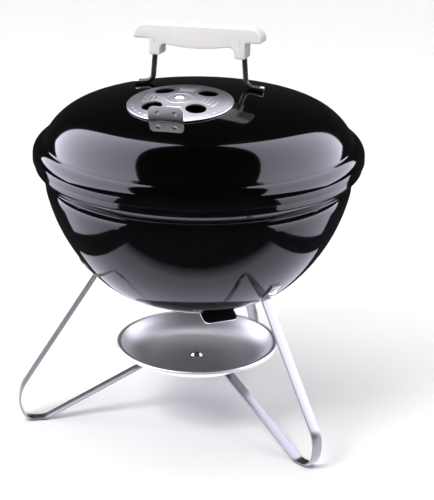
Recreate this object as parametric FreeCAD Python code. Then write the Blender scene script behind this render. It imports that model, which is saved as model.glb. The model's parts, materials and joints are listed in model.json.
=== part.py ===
"""Kettle charcoal grill: a round lidded bowl on three bent strip legs, with an ash catcher below.

Millimetres, +Z up. The origin is on the kettle's vertical axis, in the plane that the feet stand on.
One leg points to the back (+Y). The lid's handle runs left to right, turned a little with the lid.
"""
import FreeCAD, Part
import math
import os

Vector = FreeCAD.Vector
UP = Vector(0, 0, 1)
ORIGIN = Vector(0, 0, 0)

# ---- driving dimensions -------------------------------------------------------------------------

SHEET = 1.0                    # enamelled steel of the bowl and the lid
FIT_GAP = 0.35                 # between faces of parts that move past each other
SEAT_GAP = 0.1                 # between parts that are bolted or welded together
PIN_GAP = 0.05                 # radial running fit of a damper on its rivet
CUT_REACH = 15.0               # how far a hole's cutter runs to each side of the sheet
FAR = 1000.0                   # further than any part of the grill

# Bowl, measured on its outer face.
BOWL_POLE_Z = 136.0
BOWL_CROWN_R = 196.3           # spherical bottom, which the damper turns on
BOWL_CROWN_TURN = 30.0
BOWL_HAUNCH_R = 88.3
BOWL_HAUNCH_TURN = 15.0
BOWL_WALL_R = 200.9
BOWL_WALL_TURN = 32.0
BOWL_BULGE_R = 26.0
BOWL_BULGE_TURN = 27.0
BOWL_NECK_R = 4.0
BOWL_FLARE_HEADING = 45.0
BOWL_FLARE_LENGTH = 13.4
BOWL_RIM_R = 5.0
BOWL_RIM_HEIGHT = 17.2
BOWL_CURL_R = 2.6
BOWL_CURL_TURN = 210.0

# Lid, measured on its outer face.
LID_APEX_Z = 381.8
LID_CROWN_R = 491.5
LID_CROWN_TURN = 15.8
LID_SHOULDER_R = 59.7
LID_SHOULDER_TURN = 49.9
LID_STEP_R = 3.0
LID_FLARE_HEADING = 22.0
LID_FLARE_LENGTH = 2.0
LID_HEM_R = 14.5
LID_HEM_LENGTH = 6.3
LID_TURN = 4.45                # how far the loose lid is turned on the bowl
LID_FITTINGS_X = -12.0         # the handle and the damper share a line just left of the middle
HANDLE_Y = 42.0                # handle behind the middle
LID_DAMPER_Y = -34.6           # damper in front of the middle

# Dampers.
LID_DAMPER_R = 58.6
LID_DAMPER_DISH_R = 300.0
LID_DAMPER_SHEET = 1.5
LID_VENT_RING_R = 35.0
LID_VENT_R = 11.5
LID_TAB_WIDTH = 39.0
LID_TAB_HEIGHT = 16.0
BOWL_DAMPER_R = 58.6
BOWL_DAMPER_SHEET = 1.2
BOWL_VENT_RING_R = 35.0
BOWL_VENT_R = 11.5
BOWL_TAB_WIDTH = 40.0
BOWL_TAB_LENGTH = 17.0
BOWL_TAB_LEAN = 66.0           # the bowl damper's tab leans outwards
BOWL_TAB_AZIMUTH = -47.0
TAB_CORNER_R = 6.0
VENT_COUNT = 4

# Legs: bent flat strip.
LEG_AZIMUTHS = {"leg_front_right": -30.0, "leg_rear": 90.0, "leg_front_left": 210.0}
LEG_WIDTH = 12.7
LEG_THICKNESS = 2.4
LEG_TAB_TOP_ANGLE = 37.9       # angles below the horizontal at the centre of the bowl's wall arc
LEG_BOLT_ANGLE = 41.1
LEG_TAB_LOW_ANGLE = 44.6
LEG_KNEE_R = 4.0
LEG_RUN_HEADING = -56.8        # the outer run goes down and outwards
LEG_ANKLE_R = 36.4
LEG_ANKLE_TURN = 63.2
LEG_TOE_R = 14.8
LEG_PAD_LENGTH = 8.0
LEG_RETURN_HEADING = 152.6     # the return run goes up and inwards
LEG_INSTEP_R = 8.0
LEG_END_REACH = 9.0            # how far the strip runs past the centre hole

# Ash catcher, measured on its lower face.
PAN_FLOOR_Z = 67.0
PAN_SHEET = 0.8
PAN_FLOOR_R = 55.0
PAN_WALL_R = 38.0
PAN_WALL_TURN = 50.0
PAN_WALL_RISE = 5.5
PAN_LIP_R = 2.0
PAN_LIP_WIDTH = 1.2
PAN_CURL_R = 1.6
PAN_CURL_TURN = 190.0

# Grates of round wire.
COOKING_RING_R = 169.2
COOKING_RING_Z = 292.5
COOKING_RING_WIRE_R = 2.25
COOKING_BAR_R = 1.75
COOKING_BAR_PITCH = 13.4
COOKING_BAR_COUNT = 24
COOKING_BRACE_X = 70.0
CHARCOAL_RING_R = 130.9
CHARCOAL_RING_Z = 198.7
CHARCOAL_WIRE_R = 2.5
CHARCOAL_BAR_PITCH = 20.0
CHARCOAL_BAR_COUNT = 12
CHARCOAL_BRACE_X = 45.0

# Handle: a wire bail under a two-part grip. Heights are above the crown of the lid below it.
BAIL_R = 3.0
BAIL_TOP_Z = 56.1
BAIL_TOP_HALF = 50.5           # half the spacing of the bail's legs inside the grip
BAIL_CORNER_R = 8.0
BAIL_LEAN = 4.4                # its legs spread towards the lid
BAIL_BEND_R = 9.0
BAIL_FOOT_SLOPE = 7.5          # its feet follow the crown down
BAIL_FOOT_HALF = 75.0          # half the distance between the ends of its feet
GRIP_TOP_Z = 66.6
GRIP_HALF_DEPTH = 13.0
GRIP_EDGE_R = 1.9
GRIP_BELLY_Z = 41.1
GRIP_BELLY_R = 205.0
GRIP_BELLY_TURN = 10.0
GRIP_ARCH_R = 6.0
GRIP_SOCKET_Z = 31.8
GRIP_SOCKET_WIDTH = 13.0
GRIP_CORNER_R = 2.0
GRIP_END_UNDER_Z = 50.1
GRIP_END_R = 13.0
GRIP_HALF_LENGTH = 73.8
GRIP_SLOT_START = 15.0
GRIP_SLOT_END = 42.0
GRIP_SLOT_DEPTH = 1.6
GRIP_SLOT_HALF_WIDTH = 0.9
GRIP_SCREW_X = 26.0
GRIP_SCREW_Z = 48.5

# Fasteners.
LEG_BOLT_R = 2.5
LEG_BOLT_HEAD_R = 5.6
LEG_BOLT_HEAD_HEIGHT = 3.0
LEG_BOLT_RECESS_R = 1.2
LEG_WASHER_R = 4.8
LEG_WASHER_THICKNESS = 1.1
LEG_NUT_HALF_FLATS = 4.0
LEG_NUT_THICKNESS = 4.0
THREAD_END = 1.5               # thread left standing past a nut
PAN_BOLT_R = 3.0
PAN_BOLT_HEAD_R = 6.6
PAN_BOLT_HEAD_HEIGHT = 3.2
PAN_WASHER_R = 7.0
PAN_WASHER_THICKNESS = 1.4
WING_NUT_HUB_R = 5.5
WING_NUT_HUB_HEIGHT = 6.0
WING_SPAN = 13.0
WING_HEIGHT = 9.0
WING_THICKNESS = 2.2
RIVET_R = 3.0
RIVET_HEAD_R = 5.5
RIVET_HEAD_HEIGHT = 2.2
SCREW_R = 2.0
SCREW_HEAD_R = 3.6
SCREW_HEAD_HEIGHT = 2.4
SCREW_FRONT_REACH = 8.0


# ---- outlines -----------------------------------------------------------------------------------

def polar(angle_degrees, length=1.0):
    """A vector in the radius-height plane at an angle above the outward direction."""
    angle = math.radians(angle_degrees)
    return Vector(length * math.cos(angle), 0, length * math.sin(angle))


class Outline:
    """A run of lines and arcs in the X-Z plane, drawn by walking along it.

    A positive turn bends to the left of the walk and a negative one to the right.
    """

    def __init__(self, start, heading):
        self.place = start
        self.heading = heading
        self.edges = []

    def line(self, length):
        end = self.place + polar(self.heading, length)
        self.edges.append(Part.LineSegment(self.place, end).toShape())
        self.place = end
        return self

    def turn(self, radius, degrees):
        side = 1 if degrees > 0 else -1
        centre = self.place + polar(self.heading + side * 90, radius)
        middle = centre + polar(self.heading + degrees / 2 - side * 90, radius)
        end = centre + polar(self.heading + degrees - side * 90, radius)
        self.edges.append(Part.Arc(self.place, middle, end).toShape())
        self.place = end
        self.heading += degrees
        return self

    def walk(self, steps, offset=0.0):
        """Follow (length,) and (radius, degrees) steps, offset to the left of them."""
        for step in steps:
            if len(step) == 1:
                self.line(step[0])
            else:
                radius, degrees = step
                side = 1 if degrees > 0 else -1
                self.turn(radius - side * offset, degrees)
        return self


def closed_face(edges):
    return Part.Face(Part.Wire(Part.__sortEdges__(edges)))


def sheet_face(start, heading, steps, right, left):
    """The section of bent sheet between two offsets to the left of a walk."""
    sides = []
    for offset in (right, left):
        first = start + polar(heading + 90, offset)
        sides.append((first, Outline(first, heading).walk(steps, offset)))
    (near_start, near), (far_start, far) = sides
    caps = [
        Part.LineSegment(near_start, far_start).toShape(),
        Part.LineSegment(near.place, far.place).toShape(),
    ]
    return closed_face(near.edges + far.edges + caps)


def place_after(start, heading, steps):
    return Outline(start, heading).walk(steps).place


# ---- shapes that repeat -------------------------------------------------------------------------

def round_body(face):
    return face.revolve(ORIGIN, UP, 360)


def turned(shape, degrees, centre=ORIGIN, axis=UP):
    copy = shape.copy()
    copy.rotate(centre, axis, degrees)
    return copy


def moved(shape, offset):
    copy = shape.copy()
    copy.translate(offset)
    return copy


def around_legs(shape):
    """Copies of a shape made for a leg that points along +X, one at each leg."""
    return [turned(shape, azimuth) for azimuth in LEG_AZIMUTHS.values()]


def domed_head(radius, height, base, direction=UP):
    """A low round head, flat on its base and domed along the direction."""
    dome_r = (radius ** 2 + height ** 2) / (2 * height)
    ball = Part.makeSphere(dome_r, base + direction * (height - dome_r))
    return ball.common(Part.makeCylinder(radius, height, base, direction))


def hex_prism(half_flats, thickness):
    """A hexagonal prism standing on the origin along Z."""
    corner = half_flats / math.cos(math.radians(30))
    points = [Vector(corner, 0, 0)]
    for k in range(1, 7):
        angle = math.radians(60 * k)
        points.append(Vector(corner * math.cos(angle), corner * math.sin(angle), 0))
    return Part.Face(Part.makePolygon(points)).extrude(UP * thickness)


def vents(radius, ring_r, centre_z):
    """Cutters for the round vents of a damper, which stand at 45 degrees to its tab."""
    hole = Part.makeCylinder(radius, 2 * CUT_REACH, Vector(ring_r, 0, centre_z - CUT_REACH))
    return [turned(hole, 45 + k * 360.0 / VENT_COUNT) for k in range(VENT_COUNT)]


def pin_cutter(place):
    """A cutter for the hole that a damper's rivet runs in."""
    return Part.makeCylinder(RIVET_R + PIN_GAP, 2 * CUT_REACH, place - UP * CUT_REACH)


def tab_plate(width, height, thickness):
    """A plate standing on the X axis, facing along Y, with its two upper corners rounded."""
    half = width / 2
    outline = Outline(Vector(half, 0, 0), 90).line(height - TAB_CORNER_R).turn(TAB_CORNER_R, 90)
    outline.line(width - 2 * TAB_CORNER_R).turn(TAB_CORNER_R, 90).line(height - TAB_CORNER_R)
    base = Part.LineSegment(Vector(-half, 0, 0), Vector(half, 0, 0)).toShape()
    return closed_face(outline.edges + [base]).extrude(Vector(0, thickness, 0))


def chord_distance(radius, width):
    return math.sqrt(radius ** 2 - (width / 2) ** 2)


def beyond_chord(distance):
    """A cutter for everything in front of a line at a distance in front of the axis."""
    return Part.makeBox(2 * FAR, FAR, 2 * FAR, Vector(-FAR, -FAR - distance, -FAR))


# ---- bowl and its damper ------------------------------------------------------------------------

BOWL_POLE = Vector(0, 0, BOWL_POLE_Z)
BOWL_CROWN_CENTRE = Vector(0, 0, BOWL_POLE_Z + BOWL_CROWN_R)
BOWL_WALL_HEADING = BOWL_CROWN_TURN + BOWL_HAUNCH_TURN
BOWL_BULGE_HEADING = BOWL_WALL_HEADING + BOWL_WALL_TURN
BOWL_STEPS = [
    (BOWL_CROWN_R, BOWL_CROWN_TURN),
    (BOWL_HAUNCH_R, BOWL_HAUNCH_TURN),
    (BOWL_WALL_R, BOWL_WALL_TURN),
    (BOWL_BULGE_R, BOWL_BULGE_TURN),
    (BOWL_NECK_R, BOWL_FLARE_HEADING - BOWL_BULGE_HEADING - BOWL_BULGE_TURN),
    (BOWL_FLARE_LENGTH,),
    (BOWL_RIM_R, 90 - BOWL_FLARE_HEADING),
    (BOWL_RIM_HEIGHT,),
    (BOWL_CURL_R, BOWL_CURL_TURN),
]
WALL_CENTRE = place_after(BOWL_POLE, 0, BOWL_STEPS[:2]) + polar(BOWL_WALL_HEADING + 90, BOWL_WALL_R)


def on_wall(angle_below, standoff=0.0):
    """A point outside the bowl's wall, at an angle below the horizontal at the arc's centre."""
    return WALL_CENTRE + polar(-angle_below, BOWL_WALL_R + standoff)


LEG_BOLT_OUTWARDS = polar(-LEG_BOLT_ANGLE)


def on_bolt_line(radius, inner, outer):
    """A cylinder about a leg bolt's line, between two standoffs from the bowl's outer face."""
    return Part.makeCylinder(radius, outer - inner, on_wall(LEG_BOLT_ANGLE, inner), LEG_BOLT_OUTWARDS)


def bowl():
    shape = round_body(sheet_face(BOWL_POLE, 0, BOWL_STEPS, 0, SHEET))
    cuts = vents(BOWL_VENT_R, BOWL_VENT_RING_R, BOWL_POLE_Z)
    cuts.append(pin_cutter(BOWL_POLE))
    cuts = [turned(cut, BOWL_TAB_AZIMUTH + 90) for cut in cuts]
    cuts += around_legs(on_bolt_line(LEG_BOLT_R + PIN_GAP, -CUT_REACH, CUT_REACH))
    return shape.cut(cuts)


def bowl_damper():
    """A dished disc under the bowl, made with its tab to the front and then turned."""
    low_r = BOWL_CROWN_R + FIT_GAP + BOWL_DAMPER_SHEET
    pole = BOWL_CROWN_CENTRE - UP * low_r
    reach = math.degrees(math.asin(BOWL_DAMPER_R / low_r))
    disc = round_body(sheet_face(pole, 0, [(low_r, reach)], 0, BOWL_DAMPER_SHEET))
    chord = chord_distance(BOWL_DAMPER_R, BOWL_TAB_WIDTH)
    disc = disc.cut(beyond_chord(chord))
    across = Vector(1, 0, 0)
    tab = tab_plate(BOWL_TAB_WIDTH, BOWL_TAB_LENGTH, BOWL_DAMPER_SHEET)
    tab = moved(tab, Vector(0, -BOWL_DAMPER_SHEET / 2, 0))
    tab = turned(tab, 180 - BOWL_TAB_LEAN, axis=across)
    edge_z = BOWL_CROWN_CENTRE.z - math.sqrt((low_r - BOWL_DAMPER_SHEET / 2) ** 2 - chord ** 2)
    tab = moved(tab, Vector(0, -chord, edge_z))
    bend_end = Vector(-BOWL_TAB_WIDTH / 2, -chord, edge_z)
    bend = Part.makeCylinder(BOWL_DAMPER_SHEET / 2, BOWL_TAB_WIDTH, bend_end, across)
    clearance = Part.makeSphere(BOWL_CROWN_R + FIT_GAP, BOWL_CROWN_CENTRE)
    cuts = vents(BOWL_VENT_R, BOWL_VENT_RING_R, BOWL_POLE_Z) + [pin_cutter(pole), clearance]
    return turned(disc.fuse([tab, bend]).cut(cuts).removeSplitter(), BOWL_TAB_AZIMUTH + 90)


def rivet(base_z, top_z):
    """A rivet on the Z axis with a domed head above its grip and one below."""
    shank = Part.makeCylinder(RIVET_R, top_z - base_z, UP * base_z)
    upper = domed_head(RIVET_HEAD_R, RIVET_HEAD_HEIGHT, UP * top_z)
    lower = domed_head(RIVET_HEAD_R, RIVET_HEAD_HEIGHT, UP * base_z, -UP)
    return shank.fuse([upper, lower]).removeSplitter()


def bowl_damper_rivet():
    below_damper = BOWL_POLE_Z - FIT_GAP - BOWL_DAMPER_SHEET - FIT_GAP
    return rivet(below_damper, BOWL_POLE_Z + SHEET + FIT_GAP)


# ---- legs ---------------------------------------------------------------------------------------

LEG_MIDDLE = SEAT_GAP + LEG_THICKNESS / 2
LEG_TOE_FLAT = LEG_RUN_HEADING - LEG_ANKLE_TURN + 180
LEG_INSTEP_TURN = 180 - LEG_RETURN_HEADING


def leg_path(level):
    """Start, heading and steps of a leg's middle line, down from its tab and back to the centre.

    The ends of the three legs lie on each other under the ash catcher, one level each.
    """
    start = on_wall(LEG_TAB_TOP_ANGLE, LEG_MIDDLE)
    heading = -90 - LEG_TAB_TOP_ANGLE
    tab_turn = LEG_TAB_LOW_ANGLE - LEG_TAB_TOP_ANGLE
    knee = [
        (BOWL_WALL_R + LEG_MIDDLE, -tab_turn),
        (LEG_KNEE_R, LEG_RUN_HEADING + 90 + LEG_TAB_LOW_ANGLE),
    ]
    foot = [
        (LEG_ANKLE_R, -LEG_ANKLE_TURN),
        (LEG_TOE_R, -LEG_TOE_FLAT),
        (LEG_PAD_LENGTH,),
    ]
    drop = place_after(start, heading, knee + foot).z - LEG_THICKNESS / 2
    run = drop / -math.sin(math.radians(LEG_RUN_HEADING))
    steps = knee + [(run,)] + foot + [(LEG_TOE_R, -LEG_INSTEP_TURN)]
    instep = (LEG_INSTEP_R, LEG_INSTEP_TURN)
    end_z = PAN_FLOOR_Z - LEG_MIDDLE - level * (LEG_THICKNESS + SEAT_GAP)
    rise = end_z - place_after(start, heading, steps + [instep]).z
    steps += [(rise / math.sin(math.radians(LEG_INSTEP_TURN)),), instep]
    steps.append((place_after(start, heading, steps).x + LEG_END_REACH,))
    return start, heading, steps


def leg(level):
    start, heading, steps = leg_path(level)
    section = sheet_face(start, heading, steps, -LEG_THICKNESS / 2, LEG_THICKNESS / 2)
    strip = moved(section.extrude(Vector(0, LEG_WIDTH, 0)), Vector(0, -LEG_WIDTH / 2, 0))
    bolt_hole = on_bolt_line(LEG_BOLT_R + PIN_GAP, -CUT_REACH, CUT_REACH)
    centre_hole = Part.makeCylinder(PAN_BOLT_R + PIN_GAP, PAN_FLOOR_Z, ORIGIN)
    return strip.cut([bolt_hole, centre_hole])


LEG_OUTER_FACE = 2 * SEAT_GAP + LEG_THICKNESS
LEG_WASHER_TOP = -SHEET - SEAT_GAP - LEG_WASHER_THICKNESS
LEG_NUT_TOP = LEG_WASHER_TOP - LEG_NUT_THICKNESS


def leg_bolt():
    shank = on_bolt_line(LEG_BOLT_R, LEG_NUT_TOP - THREAD_END, LEG_OUTER_FACE)
    base = on_wall(LEG_BOLT_ANGLE, LEG_OUTER_FACE)
    head = domed_head(LEG_BOLT_HEAD_R, LEG_BOLT_HEAD_HEIGHT, base, LEG_BOLT_OUTWARDS)
    top = LEG_OUTER_FACE + LEG_BOLT_HEAD_HEIGHT
    recess = on_bolt_line(LEG_BOLT_RECESS_R, top - LEG_BOLT_RECESS_R, top)
    return shank.fuse(head).removeSplitter().cut(recess)


def leg_lock_washer():
    ring = on_bolt_line(LEG_WASHER_R, LEG_WASHER_TOP, LEG_WASHER_TOP + LEG_WASHER_THICKNESS)
    return ring.cut(on_bolt_line(LEG_BOLT_R + PIN_GAP, -CUT_REACH, 0))


def leg_nut():
    nut = hex_prism(LEG_NUT_HALF_FLATS, LEG_NUT_THICKNESS)
    nut = turned(nut, 90 + LEG_BOLT_ANGLE, axis=Vector(0, 1, 0))
    nut = moved(nut, on_wall(LEG_BOLT_ANGLE, LEG_NUT_TOP))
    return nut.cut(on_bolt_line(LEG_BOLT_R + PIN_GAP, -CUT_REACH, 0))


# ---- ash catcher --------------------------------------------------------------------------------

PAN_STEPS = [
    (PAN_FLOOR_R,),
    (PAN_WALL_R, PAN_WALL_TURN),
    (PAN_WALL_RISE,),
    (PAN_LIP_R, -PAN_WALL_TURN),
    (PAN_LIP_WIDTH,),
    (PAN_CURL_R, -PAN_CURL_TURN),
]
LEG_STACK_LOW_Z = PAN_FLOOR_Z - 3 * (SEAT_GAP + LEG_THICKNESS)
PAN_WASHER_LOW_Z = LEG_STACK_LOW_Z - SEAT_GAP - PAN_WASHER_THICKNESS
WING_NUT_LOW_Z = PAN_WASHER_LOW_Z - WING_NUT_HUB_HEIGHT


def ash_catcher():
    dish = round_body(sheet_face(UP * PAN_FLOOR_Z, 0, PAN_STEPS, 0, PAN_SHEET))
    return dish.cut(Part.makeCylinder(PAN_BOLT_R + PIN_GAP, 2 * PAN_FLOOR_Z, ORIGIN))


def ash_catcher_bolt():
    head_z = PAN_FLOOR_Z + PAN_SHEET + SEAT_GAP
    low_z = WING_NUT_LOW_Z - THREAD_END
    shank = Part.makeCylinder(PAN_BOLT_R, head_z - low_z, UP * low_z)
    head = domed_head(PAN_BOLT_HEAD_R, PAN_BOLT_HEAD_HEIGHT, UP * head_z)
    return shank.fuse(head).removeSplitter()


def ash_catcher_washer():
    disc = Part.makeCylinder(PAN_WASHER_R, PAN_WASHER_THICKNESS, UP * PAN_WASHER_LOW_Z)
    return disc.cut(Part.makeCylinder(PAN_BOLT_R + PIN_GAP, PAN_FLOOR_Z, ORIGIN))


def ash_catcher_wing_nut():
    """A wing nut screwed up from below, with its two wings hanging down and outwards."""
    hub = Part.makeCylinder(WING_NUT_HUB_R, WING_NUT_HUB_HEIGHT, UP * WING_NUT_LOW_Z)
    top_z = WING_NUT_LOW_Z + WING_NUT_HUB_HEIGHT / 2
    outline = Outline(Vector(0, 0, top_z), 0).line(WING_NUT_HUB_R)
    outline.turn(WING_SPAN - WING_NUT_HUB_R, -90).turn(WING_HEIGHT / 4, -180)
    ends = [outline.place, Vector(0, 0, WING_NUT_LOW_Z), Vector(0, 0, top_z)]
    edges = outline.edges + [Part.LineSegment(ends[k], ends[k + 1]).toShape() for k in range(2)]
    wing = closed_face(edges).extrude(Vector(0, WING_THICKNESS, 0))
    wing = moved(wing, Vector(0, -WING_THICKNESS / 2, 0))
    hole = Part.makeCylinder(PAN_BOLT_R + PIN_GAP, PAN_FLOOR_Z, ORIGIN)
    return hub.fuse([wing, turned(wing, 180)]).removeSplitter().cut(hole)


# ---- grates -------------------------------------------------------------------------------------

def grate_ring(ring_r, z, wire_r):
    return Part.makeTorus(ring_r, wire_r, UP * z)


def grate_bars(ring_r, z, bar_r, pitch, count):
    """Parallel wires along X, lying on the ring and ending over its middle."""
    bars = []
    for k in range(count):
        y = (k - (count - 1) / 2) * pitch
        half = math.sqrt(ring_r ** 2 - y ** 2)
        bars.append(Part.makeCylinder(bar_r, 2 * half, Vector(-half, y, z), Vector(1, 0, 0)))
    return bars


def grate_braces(ring_r, z, wire_r, x):
    """Two wires along Y under the bars, between the sides of the ring."""
    half = math.sqrt((ring_r - wire_r) ** 2 - (x + wire_r) ** 2) - SEAT_GAP
    return [
        Part.makeCylinder(wire_r, 2 * half, Vector(side * x, -half, z), Vector(0, 1, 0))
        for side in (-1, 1)
    ]


def write_grate(name, ring_r, ring_z, wire_r, bar_r, pitch, count, brace_x):
    bar_z = ring_z + wire_r + bar_r + PIN_GAP
    write(grate_ring(ring_r, ring_z, wire_r), name + "_ring")
    write(Part.makeCompound(grate_bars(ring_r, bar_z, bar_r, pitch, count)), name + "_bars")
    write(Part.makeCompound(grate_braces(ring_r, ring_z, wire_r, brace_x)), name + "_braces")


# ---- lid and its damper -------------------------------------------------------------------------

LID_APEX = Vector(0, 0, LID_APEX_Z)
LID_CROWN_CENTRE = Vector(0, 0, LID_APEX_Z - LID_CROWN_R)
LID_STEPS = [
    (LID_CROWN_R, -LID_CROWN_TURN),
    (LID_SHOULDER_R, -LID_SHOULDER_TURN),
    (LID_STEP_R, LID_CROWN_TURN + LID_SHOULDER_TURN - LID_FLARE_HEADING),
    (LID_FLARE_LENGTH,),
    (LID_HEM_R, LID_FLARE_HEADING - 90),
    (LID_HEM_LENGTH,),
]


def on_lid(shape, y):
    """Tip a shape that stands on the lid's apex over to its place on the crown."""
    x = LID_FITTINGS_X
    normal = Vector(x, y, math.sqrt(LID_CROWN_R ** 2 - x ** 2 - y ** 2))
    tilt = math.degrees(normal.getAngle(UP))
    tipped = turned(shape, tilt, LID_CROWN_CENTRE, UP.cross(normal))
    return turned(tipped, LID_TURN)


def lid():
    shape = round_body(sheet_face(LID_APEX, 0, LID_STEPS, -SHEET, 0))
    cuts = vents(LID_VENT_R, LID_VENT_RING_R, LID_APEX_Z)
    cuts.append(pin_cutter(LID_APEX))
    return shape.cut([on_lid(cut, LID_DAMPER_Y) for cut in cuts])


def lid_damper_rise():
    """Height of the damper's underside over the lid at its middle: its rim nearly touches."""
    lid_drop = LID_CROWN_R - math.sqrt(LID_CROWN_R ** 2 - LID_DAMPER_R ** 2)
    dish_drop = LID_DAMPER_DISH_R - math.sqrt(LID_DAMPER_DISH_R ** 2 - LID_DAMPER_R ** 2)
    return dish_drop - lid_drop + FIT_GAP


def lid_damper():
    """A dished disc on the lid with a tab standing at its front edge."""
    under_z = LID_APEX_Z + lid_damper_rise()
    reach = math.degrees(math.asin(LID_DAMPER_R / LID_DAMPER_DISH_R))
    steps = [(LID_DAMPER_DISH_R, -reach)]
    disc = round_body(sheet_face(UP * under_z, 0, steps, 0, LID_DAMPER_SHEET))
    chord = chord_distance(LID_DAMPER_R, LID_TAB_WIDTH)
    disc = disc.cut(beyond_chord(chord))
    edge_z = under_z - LID_DAMPER_DISH_R + math.sqrt(LID_DAMPER_DISH_R ** 2 - LID_DAMPER_R ** 2)
    tab = tab_plate(LID_TAB_WIDTH, LID_TAB_HEIGHT, LID_DAMPER_SHEET)
    tab = moved(tab, Vector(0, -chord, edge_z))
    underside = Part.makeSphere(LID_DAMPER_DISH_R, UP * (under_z - LID_DAMPER_DISH_R))
    cuts = vents(LID_VENT_R, LID_VENT_RING_R, LID_APEX_Z) + [pin_cutter(LID_APEX), underside]
    return on_lid(disc.fuse(tab).cut(cuts).removeSplitter(), LID_DAMPER_Y)


def lid_damper_rivet():
    above_damper = LID_APEX_Z + lid_damper_rise() + LID_DAMPER_SHEET + FIT_GAP
    return on_lid(rivet(LID_APEX_Z - SHEET - FIT_GAP, above_damper), LID_DAMPER_Y)


# ---- handle -------------------------------------------------------------------------------------

def mirrored(shape):
    return shape.mirror(ORIGIN, Vector(1, 0, 0))


def bail_wire(radius):
    """The bail's wire, whose feet lie on the crown on both sides of its middle."""
    start = LID_APEX + UP * BAIL_TOP_Z
    corner = [
        (BAIL_TOP_HALF - BAIL_CORNER_R,),
        (BAIL_CORNER_R, BAIL_LEAN - 90),
    ]
    bend = (BAIL_BEND_R, 90 - BAIL_LEAN - BAIL_FOOT_SLOPE)
    foot_r = LID_CROWN_R + BAIL_R + 2 * SEAT_GAP
    foot_z = LID_CROWN_CENTRE.z + math.sqrt(foot_r ** 2 - BAIL_FOOT_HALF ** 2)
    low = place_after(start, 0, corner + [bend])
    slope = math.tan(math.radians(BAIL_FOOT_SLOPE))
    spread = math.tan(math.radians(BAIL_LEAN))
    drop = low.z - foot_z - (BAIL_FOOT_HALF - low.x) * slope
    leg_length = drop / (1 - spread * slope) / math.cos(math.radians(BAIL_LEAN))
    steps = corner + [(leg_length,), bend]
    foot_length = BAIL_FOOT_HALF - place_after(start, 0, steps).x
    steps.append((foot_length / math.cos(math.radians(BAIL_FOOT_SLOPE)),))
    half = Outline(start, 0).walk(steps).edges
    path = Part.Wire(Part.__sortEdges__(half + [mirrored(edge) for edge in half]))
    first = path.OrderedVertexes[0].Point
    towards = path.OrderedEdges[0].tangentAt(path.OrderedEdges[0].FirstParameter)
    circle = Part.Wire(Part.makeCircle(radius, first, towards))
    return path.makePipeShell([circle], True, False)


def grip_outline():
    """The grip seen from the front: a belly, two sockets and two rounded ends."""
    base = LID_APEX_Z
    start = Vector(0, 0, base + GRIP_BELLY_Z)
    arch = [
        (GRIP_BELLY_R, GRIP_BELLY_TURN),
        (GRIP_ARCH_R, -90 - GRIP_BELLY_TURN),
    ]
    drop = place_after(start, 0, arch).z - base - GRIP_SOCKET_Z - GRIP_CORNER_R
    socket_side = GRIP_END_UNDER_Z - GRIP_SOCKET_Z - 2 * GRIP_CORNER_R
    steps = arch + [
        (drop,),
        (GRIP_CORNER_R, 90),
        (GRIP_SOCKET_WIDTH - 2 * GRIP_CORNER_R,),
        (GRIP_CORNER_R, 90),
        (socket_side,),
        (GRIP_CORNER_R, -90),
    ]
    under = GRIP_HALF_LENGTH - GRIP_CORNER_R - place_after(start, 0, steps).x
    side = GRIP_TOP_Z - GRIP_END_R - GRIP_END_UNDER_Z - GRIP_CORNER_R
    steps += [
        (under,),
        (GRIP_CORNER_R, 90),
        (side,),
        (GRIP_END_R, 90),
        (GRIP_HALF_LENGTH - GRIP_END_R,),
    ]
    half = Outline(start, 0).walk(steps).edges
    return closed_face(half + [mirrored(edge) for edge in half])


def grip_half(side):
    """The front (side -1) or rear (side 1) half of the grip, closed on the bail's plane."""
    half = grip_outline().extrude(Vector(0, side * GRIP_HALF_DEPTH, 0))
    rim = [
        edge for edge in half.Edges
        if all(abs(vertex.Y - side * GRIP_HALF_DEPTH) < PIN_GAP for vertex in edge.Vertexes)
    ]
    half = half.makeFillet(GRIP_EDGE_R, rim)
    slot_size = (GRIP_SLOT_END - GRIP_SLOT_START, 2 * GRIP_SLOT_HALF_WIDTH, 2 * GRIP_SLOT_DEPTH)
    slot_corner = Vector(GRIP_SLOT_START, -GRIP_SLOT_HALF_WIDTH,
                         LID_APEX_Z + GRIP_TOP_Z - GRIP_SLOT_DEPTH)
    slot = Part.makeBox(*slot_size, slot_corner)
    half = half.cut([bail_wire(BAIL_R + PIN_GAP), slot, mirrored(slot)])
    return on_lid(half.cut([screw_at(x, PIN_GAP) for x in (-GRIP_SCREW_X, GRIP_SCREW_X)]), HANDLE_Y)


def screw_at(x, gap=0.0):
    """A screw from the rear of the grip into its front half, or the hole for one."""
    tip = Vector(x, -SCREW_FRONT_REACH - gap, LID_APEX_Z + GRIP_SCREW_Z)
    back = Vector(0, 1, 0)
    seat_y = GRIP_HALF_DEPTH - SCREW_HEAD_HEIGHT
    shank = Part.makeCylinder(SCREW_R + gap, seat_y + SCREW_FRONT_REACH + gap, tip, back)
    seat = Vector(x, seat_y - gap, tip.z)
    return shank.fuse(Part.makeCylinder(SCREW_HEAD_R + gap, SCREW_HEAD_HEIGHT + gap, seat, back))


def handle_screws():
    screws = [screw_at(x).removeSplitter() for x in (-GRIP_SCREW_X, GRIP_SCREW_X)]
    return Part.makeCompound([on_lid(screw, HANDLE_Y) for screw in screws])


# ---- build --------------------------------------------------------------------------------------

def write(shape, node):
    shape.exportStep(os.path.join("parts", node + ".step"))


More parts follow.
